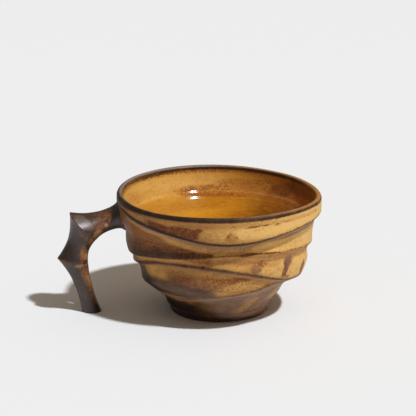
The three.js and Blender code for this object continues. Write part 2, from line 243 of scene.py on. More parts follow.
# Strokes that follow an arris or the rim: field, line, from and to azimuth, height above the line,
# half height, amount
STROKES = [
    ("rust", RIM, 240, 335, -3, 1.4, 0.42),
    ("tone", RIM, 205, 262, -3.4, 2, 0.52),
    ("rust", FIRST, 221, 252, 2.4, 3.4, 0.9),
    # Lower tone in the hollow under the first arris: partly the glaze's olive tan, partly painted
    # shade
    ("tone", FIRST, 240, 345, -2.6, 2.6, 0.38),
    ("rust", FIRST, 175, 262, -10, 6, 0.66),
    ("rust", SECOND, 175, 262, 5, 5, 0.78),
    # The dark strokes above the second arris on the left are painted shade, standing in for a hollow
    # that faces down there
    ("dark", SECOND, 165, 216, 7, 6, 0.5),
    ("dark", SECOND, 165, 240, 4, 4, 0.42),
    ("dark", SECOND, 165, 252, 2, 2.3, 0.66),
    ("dark", SECOND, 252, 265, 1.6, 2, 0.5),
    ("tone", FIRST, 231, 264, -5.4, 1.9, 0.62),
    ("rust", FIRST, 228, 270, -4.8, 2.5, 0.12),
    ("tone", FIRST, 204, 236, -3.3, 1.5, 0.6),
    ("rust", FIRST, 204, 236, -3.3, 1.5, 0.25),
    ("rust", FIRST, 195, 232, -7, 2.4, 0.6),
    # Dark under the first arris: partly the glaze's dark break, partly painted shade in the hollow
    # below the edge
    ("dark", FIRST, 203, 236, -0.7, 0.9, 0.85),
    ("dark", FIRST, 236, 292, -0.5, 0.8, 0.6),
    ("rust", SECOND, 276, 300, 0.7, 0.9, 0.5),
    ("tone", SECOND, 200, 262, -2, 1.7, 0.6),
    ("tone", SECOND, 262, 340, -2.4, 2.6, 0.56),
    ("rust", SECOND, 300, 335, 0.1, 0.6, 0.55),
    ("tone", THIRD, 205, 335, -2.6, 1.6, 0.56),
    # Dark under the third arris: partly the glaze's dark break, partly painted shade in the hollow
    # below the edge
    ("dark", THIRD, 196, 224, -0.7, 0.9, 0.75),
    ("dark", THIRD, 262, 298, -0.6, 0.8, 0.55),
    ("tone", LOWEST, 195, 268, -2.2, 2.4, 0.35),
    ("dark", LOWEST, 195, 268, -2.2, 1.8, 0.36),
    ("dark", LOWEST, 190, 233, -2.2, 2, 0.66),
    ("rust", LOWEST, 195, 268, -2.2, 1.8, 0.5),
    # The grey haze here is painted sheen: a painted reflection of the floor in the hollows below the
    # arrises
    ("painted_sheen", FIRST, 215, 345, -2, 2, 0.52),
    ("painted_sheen", SECOND, 190, 262, 0.4, 1.2, 0.3),
    ("painted_sheen", SECOND, 275, 340, -2, 1.8, 0.32),
    ("painted_sheen", THIRD, 200, 335, -0.8, 1.4, 0.42),
    ("painted_sheen", LOWEST, 215, 262, 1.6, 2.4, 0.48),
    ("painted_sheen", LOWEST, 250, 350, -1.6, 3.6, 0.76),
    ("rust", FIRST, 15, 75, 2.6, 2.8, 0.6),
    ("rust", FIRST, 95, 150, -7, 4, 0.6),
    # Lower tone under the first arris at the back: partly olive tan glaze, partly painted shade
    ("tone", FIRST, 10, 165, -2.6, 2.2, 0.42),
    ("rust", SECOND, 60, 165, 4.4, 4, 0.66),
    # Painted shade above the second arris at the back, as on the left
    ("dark", SECOND, 95, 165, 2.4, 2.6, 0.5),
    ("tone", SECOND, 20, 160, -2.2, 1.8, 0.55),
    ("rust", THIRD, 20, 90, 3, 3, 0.5),
    ("tone", THIRD, 15, 165, -2.6, 1.8, 0.56),
    ("rust", THIRD, 85, 165, -9, 4, 0.55),
    ("dark", LOWEST, 85, 170, 4.6, 4.4, 0.5),
    # Painted sheen below the arrises at the back, as at the front
    ("painted_sheen", FIRST, 15, 165, -2, 1.8, 0.45),
    ("painted_sheen", THIRD, 15, 165, -0.8, 1.4, 0.4),
    ("painted_sheen", LOWEST, 10, 165, -1.6, 3.4, 0.6),
]

# Marks on the outside: field, azimuth, level, half width, half height, tilt, amount
# Its grey-haze marks are painted sheen, a painted reflection of the floor and sky
BOWL_MARKS = [
    ("rust", 243, 63.8, 9, 3, -4, 0.85),
    ("rust", 249, 62.6, 6, 3.6, -18, 0.88),
    ("rust", 253, 65, 3.6, 1.4, 8, 0.85),
    ("tone", 271.5, 61, 3.4, 3.2, 0, 0.56),
    ("rust", 271.5, 61.4, 3, 3, 0, 0.42),
    ("rust", 269.8, 61.8, 1.2, 3.2, -25, 0.56),
    ("rust", 273.8, 61.4, 1, 2.8, 30, 0.5),
    ("rust", 271.5, 58, 5, 1.4, 0, 0.3),
    ("rust", 283.5, 66.9, 4, 0.45, 0, 0.85),
    ("rust", 291, 66.9, 3, 0.4, 0, 0.8),
    ("rust", 297, 66.8, 4, 0.4, 2, 0.85),
    ("tone", 300, 63, 34, 4.5, 0, 1),
    ("tone", 275, 50.5, 10, 2.5, 0, 0.5),
    ("tone", 304, 51.5, 16, 3.4, -4, 0.88),
    ("rust", 281.5, 48, 4.6, 1.2, 8, 0.78),
    ("rust", 295, 47.9, 9.5, 0.5, -4, 0.9),
    ("painted_sheen", 281.5, 48, 4, 1, 8, 0.35),
    ("dark", 263.5, 49.4, 0.9, 3.8, -38, 0),
    ("rust", 263.5, 49.4, 0.9, 3.8, -38, 0),
    ("dark", 254.5, 40.6, 1.8, 1.1, 0, 0.8),
    ("rust", 275, 41.8, 9, 2.8, -8, 0.3),
    ("tone", 300, 37.5, 10, 4, -10, 0.84),
    ("tone", 284, 38.4, 5, 3, 0, 0.62),
    ("rust", 283, 43, 12, 1.8, -4, 0.45),
    ("rust", 292, 42, 3.6, 2.4, -10, 0.6),
    ("rust", 288, 39.4, 4.4, 3.6, 25, 0.58),
    ("rust", 287, 36.2, 3.2, 2.2, 0, 0.6),
    ("painted_sheen", 288, 38.4, 4.4, 4.4, 20, 0.42),
    ("rust", 300, 40.5, 6, 2, 0, 0.38),
    ("rust", 312.4, 40.2, 4, 4, -10, 0.76),
    ("painted_sheen", 312.4, 40.2, 3.6, 3.6, -10, 0.56),
    ("rust", 310.6, 35, 2.4, 5, -8, 0.8),
    ("painted_sheen", 310.6, 35, 2.2, 4.6, -8, 0.42),
    ("rust", 312, 30.6, 5, 1.2, -12, 0.6),
    ("rust", 333, 31, 3, 5, 0, 0.7),
    ("tone", 217, 32, 12, 4.5, 3, 0.74),
    ("dark", 196, 26.5, 10, 6, 0, 0.6),
    ("rust", 216, 25.6, 14, 2.8, 0, 0.56),
    ("rust", 249, 30, 19, 5, -3, 0.68),
    ("rust", 261, 32.8, 13, 3, -4, 0.64),
    ("rust", 266, 31, 9, 3.6, -4, 0.6),
    ("rust", 266, 27.5, 6, 2.6, 0, 0.58),
    ("painted_sheen", 248, 30, 24, 5, -3, 0.38),
    ("speckle", 248, 31, 22, 6, 0, 0.8),
    ("dark", 226, 24.4, 28, 6.4, -3, 0.72),
    ("dark", 248, 23.4, 14, 4.4, 3, 0.7),
    ("dark", 206, 22.8, 12, 5.4, 0, 0.9),
    ("painted_sheen", 230, 25, 18, 4.6, -3, 0.46),
    ("painted_sheen", 250, 23.4, 16, 4.4, 3, 0.44),
    ("painted_sheen", 200, 57.4, 7, 6.6, 0, 0.62),
    ("rust", 278, 33.2, 8, 1.6, -4, 0.7),
    ("tone", 279, 27.6, 14, 3.4, 5, 0.7),
    ("rust", 279, 27.6, 13, 3, 5, 0.2),
    ("speckle", 277, 28, 13, 4, 0, 1),
    # Painted reflection of the floor on the lower right of the bowl: grey haze, paler tone and less
    # dark
    ("painted_sheen", 300, 11, 30, 11, 0, 0.58),
    ("dark", 328, 17, 12, 5, 0, 0.06),
    ("tone", 328, 17, 12, 5, 0, 1),
    ("painted_sheen", 328, 17, 12, 5, 0, 0.64),
    ("dark", 290, 15, 3.4, 11, -26, 0.2),
    ("rust", 290, 15, 2.4, 10, -26, 0.42),
    ("tone", 294, 12.5, 3.2, 7.4, -32, 0.78),
    ("dark", 294, 12.5, 2.8, 7, -32, 0.3),
    ("rust", 294, 12.5, 2.8, 7, -32, 0.44),
    ("painted_sheen", 294, 12.5, 2.2, 6.4, -32, 0.36),
    ("dark", 309, 8.6, 0.8, 0.7, 0, 0.1),
    ("rust", 309, 8.6, 0.8, 0.7, 0, 0.2),
    ("dark", 268, 12, 14, 5, 0, 0.5),
    ("dark", 247, 12.6, 7, 1.6, 0, 0.57),
    ("dark", 310.4, 11.2, 0.9, 0.7, 0, 0),
    ("rust", 310.4, 11.2, 0.9, 0.7, 0, 0),
    ("dark", 305.5, 4.8, 0.8, 0.7, 0, 0),
    ("rust", 305.5, 4.8, 0.8, 0.7, 0, 0),
    ("dark", 334, 2.5, 0.6, 2.4, 0, 0),
    ("rust", 334, 2.5, 0.6, 2.4, 0, 0.1),
    # Darker at the foot's bottom edge: partly darker glaze, partly painted contact shade where it
    # meets the floor
    ("dark", 265, 0.4, 28, 2.4, 0, 1),
    ("rust", 352, 22, 14, 3, 6, 0.55),
    ("rust", 30, 46, 14, 3, -6, 0.5),
    ("speckle", 75, 40, 14, 4, -8, 1),
    ("rust", 112, 34, 12, 4, -4, 0.6),
    ("painted_sheen", 120, 25, 20, 5, -4, 0.4),
    ("speckle", 150, 33, 16, 5, -6, 0.9),
    ("rust", 165, 56, 18, 8, 0, 0.7),
]

# Marks on the inside, in the same order
INSIDE_MARKS = [
    ("tone", 150, 58, 44, 5, 0, 0.76),
    ("rust", 140, 59, 26, 4, 0, 0.16),
    ("rust", 88, 57, 27, 3.8, 2, 0.66),
    ("rust", 72, 60.5, 16, 5, 0, 0.52),
    ("tone", 138, 50.5, 40, 5.4, 0, 0.66),
    ("tone", 95, 51.6, 20, 4.6, 0, 0.56),
    ("rust", 140, 50, 30, 4.4, 0, 0.36),
    # Thinner amber tint here: a painted reflection of the sky in the pool
    ("pool", 118, 50.5, 26, 5, 0, 0.68),
    # Darker on the inside right: painted shade where the rim shades it, over some rust
    ("rust", 26, 63, 24, 8, 0, 0.72),
    ("dark", 22, 66, 24, 6, 0, 0.5),
    ("dark", 41, 61, 10, 4.2, 0, 0.5),
    ("rust", 40, 54.5, 14, 2.4, 0, 0.55),
    ("rust", 46, 59.5, 9, 5, 0, 0.72),
    ("rust", 36, 52, 14, 5, 0, 0.45),
    ("rust", 186, 57, 10, 5, 0, 0.3),
    ("rust", 53, 64, 3, 6, 0, 0.3),
    ("rust", 158, 60, 16, 7, 0, 0.38),
    ("rust", 250, 60, 30, 3, 0, 0.5),
    ("rust", 330, 60, 18, 4, 0, 0.6),
]

# Marks on the handle, by x and z, in the same order, on the side that faces -Y
HANDLE_MARKS = [
    ("dark", -68, 58.6, 7, 3.4, 15, 0.56),
    ("dark", -70.5, 55.5, 6, 3, 30, 0.56),
    ("rust", -69, 57, 7, 4, 20, 0.66),
    ("dark", -71.4, 49.8, 4.4, 2.2, 52, 0.22),
    ("rust", -71.4, 49.8, 3.8, 1.8, 52, 0.42),
    ("dark", -67.6, 54, 3, 2.4, 40, 0.48),
    ("dark", -75, 45.4, 3.6, 1.8, 52, 0.3),
    ("rust", -75, 45.4, 3, 1.4, 52, 0.5),
    ("dark", -66.3, 54.8, 1.1, 1.2, 0, 0.05),
    ("rust", -66.3, 54.8, 1, 1.1, 0, 0.1),
    # Painted shadow of the rim on the arm's root
    ("dark", -59.6, 60, 3.4, 9, 0, 1),
    ("dark", -79.6, 48.6, 5, 1.2, -44, 0.5),
    ("dark", -81, 38.5, 3.4, 5.6, 6, 0.55),
    ("dark", -79.2, 37.6, 2.6, 5.4, 6, 0.4),
    ("rust", -79.2, 37.6, 2, 5, 6, 0.56),
    ("dark", -78.4, 35, 1.3, 2.2, 4, 0.08),
    ("rust", -78.4, 35, 1, 1.8, 4, 0.25),
    ("dark", -91, 42, 4, 9, 0, 0.98),
    ("dark", -85.4, 38, 3, 8, 8, 0.95),
    ("dark", -80.5, 30.3, 6.2, 1.8, 7, 0.34),
    ("rust", -80, 30.3, 5.2, 1.4, 7, 0.48),
    ("dark", -78, 23.5, 3.4, 6, 16, 0.5),
    ("rust", -78, 23.5, 3, 6, 16, 0.62),
    ("dark", -75, 14.5, 2.4, 13, 18, 0.38),
    ("rust", -74.9, 14.5, 1.9, 12, 18, 0.56),
    ("dark", -75.8, 17, 0.8, 7, 18, 0.2),
    ("rust", -75.8, 17, 0.6, 6, 18, 0.4),
    # Painted sheen: a painted reflection on the leg's left side and round the arm's highlight
    ("painted_sheen", -80.6, 14, 1.8, 11, 17, 0.32),
    ("painted_sheen", -79, 56, 7.5, 3.2, -25, 0.6),
    # Painted contact shade, darker towards the toe's bottom where it stands on the floor
    ("dark", -77, 2.6, 8, 2.6, 0, 0.85),
]
HANDLE_FRONT = (-3, 1)  # y between which these marks fade out
HANDLE_PAINT = {"tone": 0.5, "rust": 0.9, "dark": 0.76, "painted_sheen": 0, "speckle": 0.2}

# Dark in the seam at a mitre, and its reach as a share of the limb's length, on the limb that
# starts there and on the one that ends there
SEAM_AT_START = (1, 0.03)
SEAM_AT_END = (0.4, 0.02)

# Bare clay under the foot
CLAY_PAINT = {"tone": 0.5, "rust": 0.35, "dark": 0.1, "painted_sheen": 0, "speckle": 0.6}

# Colours of the glaze along its tones outside and inside, of the breaks and of the specks
OCHRE_COLOURS = [
    (0, (0.11, 0.060, 0.022)),
    (0.3, (0.25, 0.122, 0.036)),
    (0.55, (0.43, 0.207, 0.058)),
    (0.78, (0.62, 0.328, 0.088)),
    (1, (0.79, 0.475, 0.148)),
]
AMBER_COLOURS = [
    (0, (0.10, 0.038, 0.004)),
    (0.3, (0.29, 0.125, 0.014)),
    (0.6, (0.57, 0.270, 0.040)),
    (1, (0.81, 0.460, 0.110)),
]
RUST_COLOURS = [
    (0.3, (0.40, 0.150, 0.034)),
    (0.95, (0.125, 0.034, 0.008)),
]
INSIDE_RUST_COLOURS = [
    (0.3, (0.49, 0.18, 0.030)),
    (0.95, (0.27, 0.078, 0.011)),
]
DARK_COLOUR = (0.026, 0.012, 0.007)
# Colour of the painted sheen, a painted reflection of the floor and sky
PAINTED_SHEEN_COLOUR = (0.275, 0.205, 0.185)
SPECK_COLOUR = (0.07, 0.026, 0.012)
POOL_TINT = (0.9, 0.74, 0.22)
FLOOR_COLOUR = (0.85, 0.85, 0.85)
FLOOR_ROUGHNESS = 0.9

# Textures of the glaze: size, detail, and how far each is drawn out downwards or, under 1, sideways
TEXTURES = {
    "clouds": (7, 4, 1),
    "grain": (1.1, 4, 1),
    "runs": (1.6, 3, 2.2),
    "brushing": (5, 4, 0.25),
    "dust": (0.6, 2, 1),
}
TEXTURE_ROUGHNESS = 0.6
TEXTURE_MIDDLE = 0.5

# How much the textures stir the fields, the gloss and the relief
POOL_STIR = {"runs": 0.2}
GROUND_STIR = {"clouds": 0.4, "grain": 0.7, "runs": 0.3}
TONE_STIR = {"brushing": 0.55}
RUST_STIR = {"grain": 1.15, "clouds": 0.4, "runs": 0.3, "brushing": 0.5}
DARK_STIR = {"grain": 0.35, "clouds": 0.45}
PAINTED_SHEEN_STIR = {"grain": 0.5, "brushing": 0.5}
GLOSS_STIR = {"clouds": 0.15}
RELIEF_STIR = {"grain": 0.8}

# Between which values of a stirred field its cover grows from none to full
POOL_COVER = (0.4, 0.9)
WET_COVER = (0.1, 0.35)  # of the pool's gloss, which reaches further than its colour
RUST_COVER = (0.2, 0.72)
DARK_COVER = (0.15, 0.9)
PAINTED_SHEEN_COVER = (0.2, 1.2)
SPECK_COVER = (0.72, 0.8)

POOL_CALM = 0.75  # share of the ground's stir and of the specks that the pool takes away
SPECK_LIFT = 0.2  # how much speckle adds to the dust
SPECK_STRENGTH = 0.75
WET_SHINE = 0.35  # how much less rough the pool is
WET_CALM = 0.9  # share of the relief that the pool fills
RELIEF = 0.12  # height of the glaze's bumps

# Camera, lamp and sky
CAMERA_PLACE = (-99.60, -1064.28, 367.59)
CAMERA_DIP = 15.998  # how far it looks down
CAMERA_TURN = -5
CAMERA_LENS = 164.42
CAMERA_SENSOR = 36
SHADOW_OFFSET = (-31.5, 33)  # where the lamp throws the shadow of the rim's middle
LAMP_ANGLE = 3.5
LAMP_COLOUR = (0.9, 0.95, 1)
LAMP_STRENGTH = 3.1
SKY_COLOUR = (1, 0.85, 0.7)
SKY_STRENGTH_LEVEL = 0.1  # at the horizon
SKY_STRENGTH_ABOVE = 0.36  # overhead
FLOOR_SIZE = 12000


def smoothstep(start, end, value):
    share = np.clip((value - start) / (end - start), 0, 1)
    return share * share * (3 - 2 * share)


def fade_out(start, end, value):
    """1 up to start, then smoothly down to 0 at end."""
    return 1 - smoothstep(start, end, value)


def bell(distance):
    return np.exp(-(distance**2))


def cubic(before, low, high, after, share):
    """The smooth way from low to high, with regard to the values before and after them."""
    change = high - low
    rise = (high - before) / 2
    next_rise = (after - low) / 2
    square = 3 * change - 2 * rise - next_rise
    cube = rise + next_rise - 2 * change
    return low + share * (rise + share * (square + share * cube))


def around(values, azimuth):
    """Cubic interpolation of even values right round the bowl, at an azimuth in radians."""
    place = azimuth / (2 * math.pi) * len(values)
    start = np.floor(place).astype(int)
    nearest = (np.take(values, start + step, mode="wrap") for step in NEIGHBOURS)
    return cubic(*nearest, place - start)


def spline(points, count):
    """Points along the smooth curve through these points."""
    points = np.array(points, float)
    last = len(points) - 1
    place = np.linspace(0, last, count)
    start = np.minimum(np.floor(place).astype(int), last - 1)
    nearest = (points[np.clip(start + step, 0, last)] for step in NEIGHBOURS)
    return cubic(*nearest, (place - start)[:, None])


def bend(start, pull, end, share):
    """The curve from start to end that pull draws aside."""
    return (1 - share) ** 2 * start + 2 * share * (1 - share) * pull + share**2 * end


WALL_SHARES, WALL_FLARES = spline(THROWN_PROFILE, PROFILE_SAMPLES).T


def wall_level(share):
    return SEAT_LEVEL + (WALL_TOP - SEAT_LEVEL) * share


def thrown_radius(level):
    share = (level - SEAT_LEVEL) / (WALL_TOP - SEAT_LEVEL)
    flare = np.interp(share, WALL_SHARES, WALL_FLARES)
    return FOOT_TOP_RADIUS + (RIM_RADIUS - FOOT_TOP_RADIUS) * flare


def arris_level(arris, azimuth):
    return wall_level(around(arris["level"], azimuth))


def carved_radius(azimuth, level):
    """The thrown wall, less the hollows scooped out below its arrises."""
    radius = thrown_radius(level)
    for arris in ARRISES:
        below = arris_level(arris, azimuth) - level
        share = np.clip(below / (HOLLOW_REACH * arris["reach"]), 0, 1)
        depth = HOLLOW_DEPTH * around(arris["depth"], azimuth)
        radius = radius - depth * HOLLOW_SCALE * share * (1 - share) ** 2
    return radius


def wall_radius(azimuth, level):
    """The carved outside with its arrises slightly rounded."""
    above = carved_radius(azimuth, level + ARRIS_SOFTNESS)
    below = carved_radius(azimuth, level - ARRIS_SOFTNESS)
    return (above + 2 * carved_radius(azimuth, level) + below) / 4


def dipped(azimuth, level):
    """A level near the rim, let down by the rim's dip at that azimuth."""
    share = smoothstep(wall_level(RIM_WAVE_START), WALL_TOP, level)
    return level - RIM_DIP_DEPTH * share * around(RIM_WAVE, azimuth)


def unevenness(points, size):
    """Smooth wander from 0 to 1 over points, with bumps of about that size."""
    flat = points.reshape(-1, 3) / size
    wander = [(1 + noise.noise(Vector(point))) / 2 for point in flat]
    return np.clip(wander, 0, 1).reshape(points.shape[:-1])


def turned(column):
    """A column of values, repeated right round the bowl."""
    return np.repeat(np.array(column, float)[:, None], AZIMUTH_STEPS, axis=1)


def round_points(radius, level):
    return np.stack([radius * np.cos(AZIMUTHS), radius * np.sin(AZIMUTHS), level], axis=-1)


def closed_faces(count, sides):
    """Faces between rows of points, and fans to the two points that follow the last row."""
    side = np.arange(sides)
    turn = (side + 1) % sides
    first_fan = np.full(sides, count * sides)
    last = (count - 1) * sides
    faces = [np.stack([first_fan, turn, side], axis=1)]
    for low in range(0, last, sides):
        high = low + sides
        faces.append(np.stack([low + side, low + turn, high + turn, high + side], axis=1))
    faces.append(np.stack([first_fan + 1, last + side, last + turn], axis=1))
    return [face for row in faces for face in row.tolist()]


def glaze_piece(name, rows, fields, materials, replaced, split=None):
    """A closed mesh through rows of points, with a fan at each end, that rides on the part.

    From the row split on, its faces take the second material.
    """
    count, sides = rows.shape[:2]
    ends = [rows[0].mean(axis=0), rows[-1].mean(axis=0)]
    points = np.concatenate([rows.reshape(-1, 3), ends]) * MM
    faces = closed_faces(count, sides)
    mesh = bpy.data.meshes.new(name)
    mesh.from_pydata(points.tolist(), [], faces)
    mesh.shade_smooth()
    for field, values in fields.items():
        fans = [values[0].mean(), values[-1].mean()]
        data = np.concatenate([values.ravel(), fans]).astype(np.float32)
        mesh.attributes.new(field, "FLOAT", "POINT").data.foreach_set("value", data)
    for material in materials:
        mesh.materials.append(material)
    if split is not None:
        index = np.arange(len(faces)) >= sides * (1 + split)
        mesh.polygons.foreach_set("material_index", index.astype(np.int32))
    piece = bpy.data.objects.new(name, mesh)
    bpy.context.scene.collection.objects.link(piece)
    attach(piece, "root")
    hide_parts(*replaced)


def start_fields(paint, like):
    """One paint all over an array of places, outside and clear of the pool."""
    fields = {name: np.full_like(like, amount) for name, amount in paint.items()}
    return {**fields, "pool": np.zeros_like(like), "inside": np.zeros_like(like)}


def lay(field, amount, cover=1.0):
    """Moves a field to an amount, as far as the cover says."""
    field += (amount - field) * cover


def lay_at_least(field, amount):
    np.maximum(field, amount, out=field)


def lay_mark(field, across, up, shape, weight=1.0):
    """Lays one soft-edged oval of paint, from its sizes and the distances to its middle."""
    half_width, half_height, tilt, amount = shape
    cos, sin = math.cos(math.radians(tilt)), math.sin(math.radians(tilt))
    along = (across * cos + up * sin) / half_width
    over = (up * cos - across * sin) / half_height
    lay(field, amount, weight * fade_out(*MARK_EDGE, np.hypot(along, over)))


def lay_round_marks(fields, marks, level, radius):
    for name, at_azimuth, at_level, *shape in marks:
        turn = AZIMUTHS - math.radians(at_azimuth)
        across = radius * np.arctan2(np.sin(turn), np.cos(turn))
        lay_mark(fields[name], across, level - at_level, shape)


def lay_strokes(fields, level):
    turn = np.degrees(AZIMUTHS)
    for name, line, start, end, above, half_height, amount in STROKES:
        middle = WALL_TOP if line == RIM else arris_level(ARRISES[line], AZIMUTHS)
        sides = fade_out(*STROKE_SIDES, np.abs(level - middle - above) / half_height)
        begun = smoothstep(start - STROKE_ENDS, start + STROKE_ENDS, turn)
        going = fade_out(end - STROKE_ENDS, end + STROKE_ENDS, turn)
        lay(fields[name], amount, begun * going * sides)


def outside_fields(level, radius):
    """Glaze on the outside: strokes and marks, then dark breaks along the arrises and the lip."""
    fields = start_fields(BASE_PAINT, level)
    lay(fields["tone"], around(WALL_TONE, AZIMUTHS))
    below = arris_level(ARRISES[LOWEST], AZIMUTHS) - level
    lower = smoothstep(-LOWER_BLEND, LOWER_BLEND, below)
    lay(fields["dark"], around(LOWER_DARK, AZIMUTHS), lower)
    lay(fields["rust"], LOWER_RUST, lower)
    lay(fields["tone"], LOWER_TONE, lower)
    lay_strokes(fields, level)
    lay_round_marks(fields, BOWL_MARKS, level, radius)
    for arris in ARRISES:
        above = level - arris_level(arris, AZIMUTHS) - arris["rise"]
        above = above / around(arris["break"], AZIMUTHS)
        lay_at_least(fields["dark"], around(arris["dark"], AZIMUTHS) * bell(above))
        lay_at_least(fields["rust"], BREAK_RUST * bell(above / BREAK_HAZE))
    drop = WALL_TOP - level
    lip = around(LIP_OUTER, AZIMUTHS)
    run = around(LIP_RUN, AZIMUTHS)
    start, end = (share * run for share in OUTER_RUST_FADE)
    lay_at_least(fields["rust"], LIP_RUST * lip * fade_out(start, end + OUTER_RUST_MORE, drop))
    lay_at_least(fields["dark"], lip * fade_out(*OUTER_DARK_FADE, drop / run))
    return fields


def lip_fields(share):
    """Glaze over the lip, from its outer side at share 0 to its inner side at share 1."""
    fields = start_fields(LIP_PAINT, share)
    outer = fade_out(*LIP_OUTER_FADE, share)
    start = around(LIP_INNER_START, AZIMUTHS)
    inner = smoothstep(start - LIP_INNER_BLEND, start + LIP_INNER_BLEND, share)
    lay(fields["dark"], around(LIP_TOP, AZIMUTHS))
    lay(fields["dark"], around(LIP_OUTER, AZIMUTHS), outer)
    lay(fields["rust"], LIP_RUST, outer)
    lay(fields["dark"], around(LIP_INNER, AZIMUTHS), inner)
    # A painted highlight along the middle of the lip's top, as painted sheen
    painted_sheen = bell((share - LIP_PAINTED_SHEEN_MIDDLE) / LIP_PAINTED_SHEEN_SPREAD)
    lay(fields["painted_sheen"], around(LIP_PAINTED_SHEEN, AZIMUTHS), painted_sheen)
    lay(fields["inside"], 1, smoothstep(*LIP_AMBER, share))
    return fields


def inside_fields(level, radius):
    """Glaze on the inside: the pool and marks, then what runs down from the lip."""
    fields = start_fields(INSIDE_PAINT, level)
    lay(fields["inside"], 1)
    lay(fields["tone"], around(INSIDE_TONE, AZIMUTHS), smoothstep(*INSIDE_TONE_RADII, radius))
    lay(fields["pool"], 1, np.clip((POOL_TOP - level) / (POOL_TOP - POOL_FULL), 0, 1))
    lay_round_marks(fields, INSIDE_MARKS, level, radius)
    drop = WALL_TOP - level
    lip = around(LIP_INNER, AZIMUTHS)
    falls = drop / around(LIP_FALL, AZIMUTHS)
    lay_at_least(fields["rust"], INNER_RUST * (1 + lip) * fade_out(*INNER_RUST_FADE, drop))
    lay_at_least(fields["dark"], lip * fade_out(*INNER_DARK_FADE, falls))
    return fields


def wall_levels():
    """Rows of levels up the outside, crowded at the seat, the arrises and the lip."""
    seat, top = np.full_like(AZIMUTHS, SEAT_LEVEL), np.full_like(AZIMUTHS, WALL_TOP)
    lines = [seat, *(arris_level(arris, AZIMUTHS) for arris in reversed(ARRISES)), top]
    shares = (1 - np.cos(np.pi * np.arange(BAND_ROWS) / BAND_ROWS)) / 2
    rows = [low + (high - low) * share for low, high in zip(lines, lines[1:]) for share in shares]
    return np.array([*rows, top])


def bore_section():
    """Radii and levels down the inside, with the rolled edges of the pool, short of the middle."""
    heights, shares = np.array(BORE_PROFILE).T
    levels = wall_level(heights)
    radii = thrown_radius(levels) - LIP_THICKNESS - (WALL_THICKNESS - LIP_THICKNESS) * shares
    heel_radius, heel_level = radii[-1], levels[-1]
    lip = (RIM_RADIUS - LIP_THICKNESS, WALL_TOP)
    dish = (heel_radius * DISH_SPREAD, FLOOR_LEVEL + (heel_level - FLOOR_LEVEL) * DISH_RISE)
    corners = [lip, *zip(radii, levels), dish, (0, FLOOR_LEVEL)]
    radius, level = spline(corners, BORE_SAMPLES).T
    density = np.ones_like(level)
    for edge, thickness in POOL_ROLLS:
        coat = fade_out(edge - POOL_EDGE, edge + POOL_EDGE, level)
        radius = radius - thickness * coat * smoothstep(heel_level, edge, level)
        density = density + ROLL_CROWDING * bell((level - edge) / ROLL_CROWDING_REACH)
    steps = np.hypot(np.diff(radius, prepend=radius[0]), np.diff(level, prepend=level[0]))
    length = np.cumsum(steps * density)
    place = np.linspace(0, length[-1], BORE_ROWS)[:-1]
    return np.interp(place, length, radius), np.interp(place, length, level)


def bowl(outside_glaze, inside_glaze):
    wall = wall_levels()
    outside = wall_radius(AZIMUTHS, wall)
    share = turned(np.arange(1, LIP_ROWS) / LIP_ROWS)
    lip = RIM_RADIUS - LIP_RADIUS + LIP_RADIUS * np.cos(np.pi * share)
    lip_level = WALL_TOP + LIP_RADIUS * np.sin(np.pi * share)
    bore, bore_level = (turned(column) for column in bore_section())

    level = dipped(AZIMUTHS, np.concatenate([wall, lip_level, bore_level]))
    level = np.minimum(level, CAD_HIGH.z / MM)
    radius = np.concatenate([outside, lip, bore])
    even = round_points(radius, level)
    radius = radius - UNEVEN_WALL * unevenness(even, UNEVEN_WALL_SIZE)
    rows = round_points(np.maximum(radius, PIN_RADIUS), level)

    parts = [outside_fields(wall, outside), lip_fields(share), inside_fields(bore_level, bore)]
    fields = {name: np.concatenate([part[name] for part in parts]) for name in parts[0]}
    glazes = [outside_glaze, inside_glaze]
    inner_lip = len(wall) + LIP_ROWS // 2
    glaze_piece("glazed_bowl", rows, fields, glazes, ["bowl"], inner_lip)


def foot(material):
    bottom = np.array([FOOT_RADIUS, FOOT_CHAMFER])
    pull = np.array([FOOT_RADIUS, FOOT_HEIGHT / 2])
    top = np.array([FOOT_TOP_RADIUS, FOOT_HEIGHT])
    section = [
        (PIN_RADIUS, 0),
        (FOOT_RADIUS - 2 * FOOT_CHAMFER, 0),
        (FOOT_RADIUS - FOOT_CHAMFER, 0),
        *bend(bottom, pull, top, np.linspace(0, 1, FOOT_ROWS)[:, None]),
        (FOOT_TOP_RADIUS, SEAT_LEVEL),
    ]
    radius, level = (turned(column) for column in zip(*section))
    fields = outside_fields(level, radius)
    bare = fade_out(0, FOOT_CHAMFER / 2, level)
    for name, amount in CLAY_PAINT.items():
        lay(fields[name], amount, bare)
    rows = round_points(radius, level)
    nodes = ["foot", "foot_slip_seam"]
    glaze_piece("glazed_foot", rows, fields, [material], nodes)


def handle_point(place):
    reach, drop = place
    return np.array([-RIM_RADIUS - reach, 0, MUG_HEIGHT - drop])


def limb_side(shape, side):
    """One side of a limb, seen from the front, from its upper mitre to its lower one."""
    places = shape["from"][side], shape[side], shape["to"][side]
    return bend(*(handle_point(place) for place in places), LIMB_SHARES)


